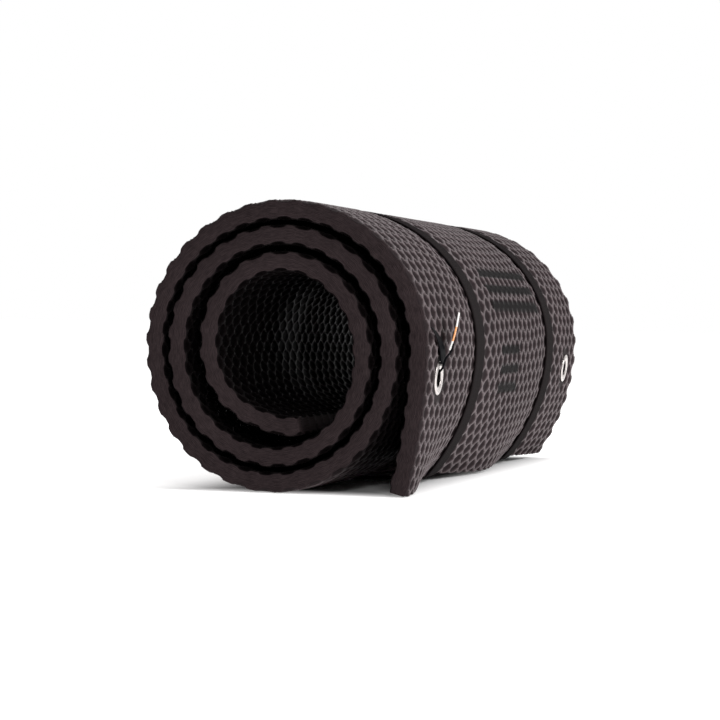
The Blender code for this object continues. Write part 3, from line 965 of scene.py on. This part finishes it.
def make_knot(place, height):
    """The knot that keeps the tie in the eyelet, flattened behind the washer."""
    verts, faces = [], []
    around, over = 32, 12
    for i in range(over + 1):
        lift = math.pi * i / over
        for j in range(around):
            turn = 2 * math.pi * j / around
            r = math.sin(lift) * KNOT_RADIUS * (1 + 0.10 * math.sin(3 * turn))
            z = height + KNOT_HALF_HEIGHT * math.cos(lift) * (1 + 0.15 * math.cos(2 * turn))
            verts.append(place @ Vector((r * math.cos(turn), r * math.sin(turn), z)))
    for i in range(over):
        for j in range(around):
            k = (j + 1) % around
            low, high = i * around, (i + 1) * around
            faces.append((low + j, low + k, high + k, high + j))
    obj = mesh_object("tie_knot", verts, faces)
    fix_normals(obj, merge=0.00001)
    return obj


# ---- putting it together ------------------------------------------------------------------------

foam, elastic, metal = foam_material(), elastic_material(), metal_material()

sheet = make_sheet()
fix_normals(sheet)
punch_sheet(sheet)
sheet.data.materials.clear()
sheet.data.materials.append(foam)
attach(sheet, "mat")
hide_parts("mat_sheet")

for name, along in BAND_PLACES.items():
    band = make_band(name, along)
    band.data.materials.append(elastic)
    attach(band, "near_band" if name == "band_near" else "far_band")
    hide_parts(name)

for side, along in EYELET_PLACES.items():
    eyelet, washer = make_eyelet(side, along)
    for piece, node in ((eyelet, f"eyelet_{side}"), (washer, f"washer_{side}")):
        piece.data.materials.append(metal)
        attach(piece, "mat")
        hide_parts(node)

# The ribbon is partly painted shadow of the card
card, cord, ribbon, knot = make_tag()
card.data.materials.append(card_material())
tie_look = tie_material()
for piece in (cord, ribbon, knot):
    piece.data.materials.append(tie_look)
    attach(piece, "tag")
    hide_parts("tag_tie")
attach(card, "tag")
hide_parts("tag_card")


# ---- floor, light and camera --------------------------------------------------------------------


# The floor glows, but not under the roll: that keeps the contact shadow
SHADOW_HALF_WIDTH = 0.080
SHADOW_HALF_LENGTH = 0.285
SHADOW_FADE = 0.035
FLOOR_GLOW = 0.62


def floor_material():
    """White, and self-lit only where the roll doesn't stand over it."""
    n = Nodes("floor_look")
    x, y, _ = n.split(n.new("ShaderNodeTexCoord").outputs["Object"])
    beside = n.math("SUBTRACT", n.math("ABSOLUTE", x), SHADOW_HALF_WIDTH)
    beyond = n.math("SUBTRACT", n.math("ABSOLUTE", y), SHADOW_HALF_LENGTH)
    outside = n.math("MAXIMUM", beside, beyond)
    lit = n.ramp(outside, -SHADOW_FADE, SHADOW_FADE, 0.0, FLOOR_GLOW)
    return n.finish(
        Base_Color=(0.90, 0.90, 0.90, 1.0), Roughness=0.95, Emission_Color=(1.0, 0.99, 0.985, 1.0),
        Emission_Strength=lit, Specular_IOR_Level=0.0,
    )


floor = plane("floor", [(-30, -30, 0), (30, -30, 0), (30, 30, 0), (-30, 30, 0)], floor_material())
wall_look = Nodes("wall_look").finish(
    Base_Color=BLACK, Roughness=1.0, Emission_Color=WHITE, Emission_Strength=1.0,
    Specular_IOR_Level=0.0,
)
wall = plane("wall", [(-30, 24, -1), (20, 24, -1), (20, 24, 25), (-30, 24, 25)], wall_look)

world = bpy.data.worlds.new("studio")
bpy.context.scene.world = world
world.use_nodes = True
background = world.node_tree.nodes["Background"]
background.inputs["Color"].default_value = WHITE
background.inputs["Strength"].default_value = 0.45


def area_light(name, place, aim, size, power):
    data = bpy.data.lights.new(name, "AREA")
    data.shape = "RECTANGLE"
    data.size, data.size_y = size
    data.energy = power
    lamp = link(bpy.data.objects.new(name, data))
    lamp.location = place
    lamp.rotation_euler = (Vector(aim) - Vector(place)).to_track_quat("-Z", "Y").to_euler()


area_light("key", (2.4, -0.5, 1.6), (0.05, 0.0, 0.1), (1.0, 1.0), 46)
area_light("top", (0.3, 0.9, 2.6), (0.0, 0.0, 0.1), (1.6, 1.6), 22)
area_light("glint", (0.9, -2.4, 1.1), (0.0, -0.25, 0.09), (0.30, 0.30), 10)

camera_data = bpy.data.cameras.new("camera")
camera_data.lens = CAMERA_LENS
camera_data.sensor_width = 36
camera = link(bpy.data.objects.new("camera", camera_data))
ahead = CAMERA_AHEAD.normalized()
right = (CAMERA_RIGHT - ahead * CAMERA_RIGHT.dot(ahead)).normalized()
turn = Matrix((right, right.cross(ahead), -ahead)).transposed()
near_centre = Vector((ROLL_CENTRE.x, -SHEET_WIDTH / 2, ROLL_CENTRE.z))
camera.matrix_world = Matrix.Translation(near_centre + CAMERA_OFFSET) @ turn.to_4x4()
bpy.context.scene.camera = camera
bpy.context.scene.view_settings.view_transform = "Standard"
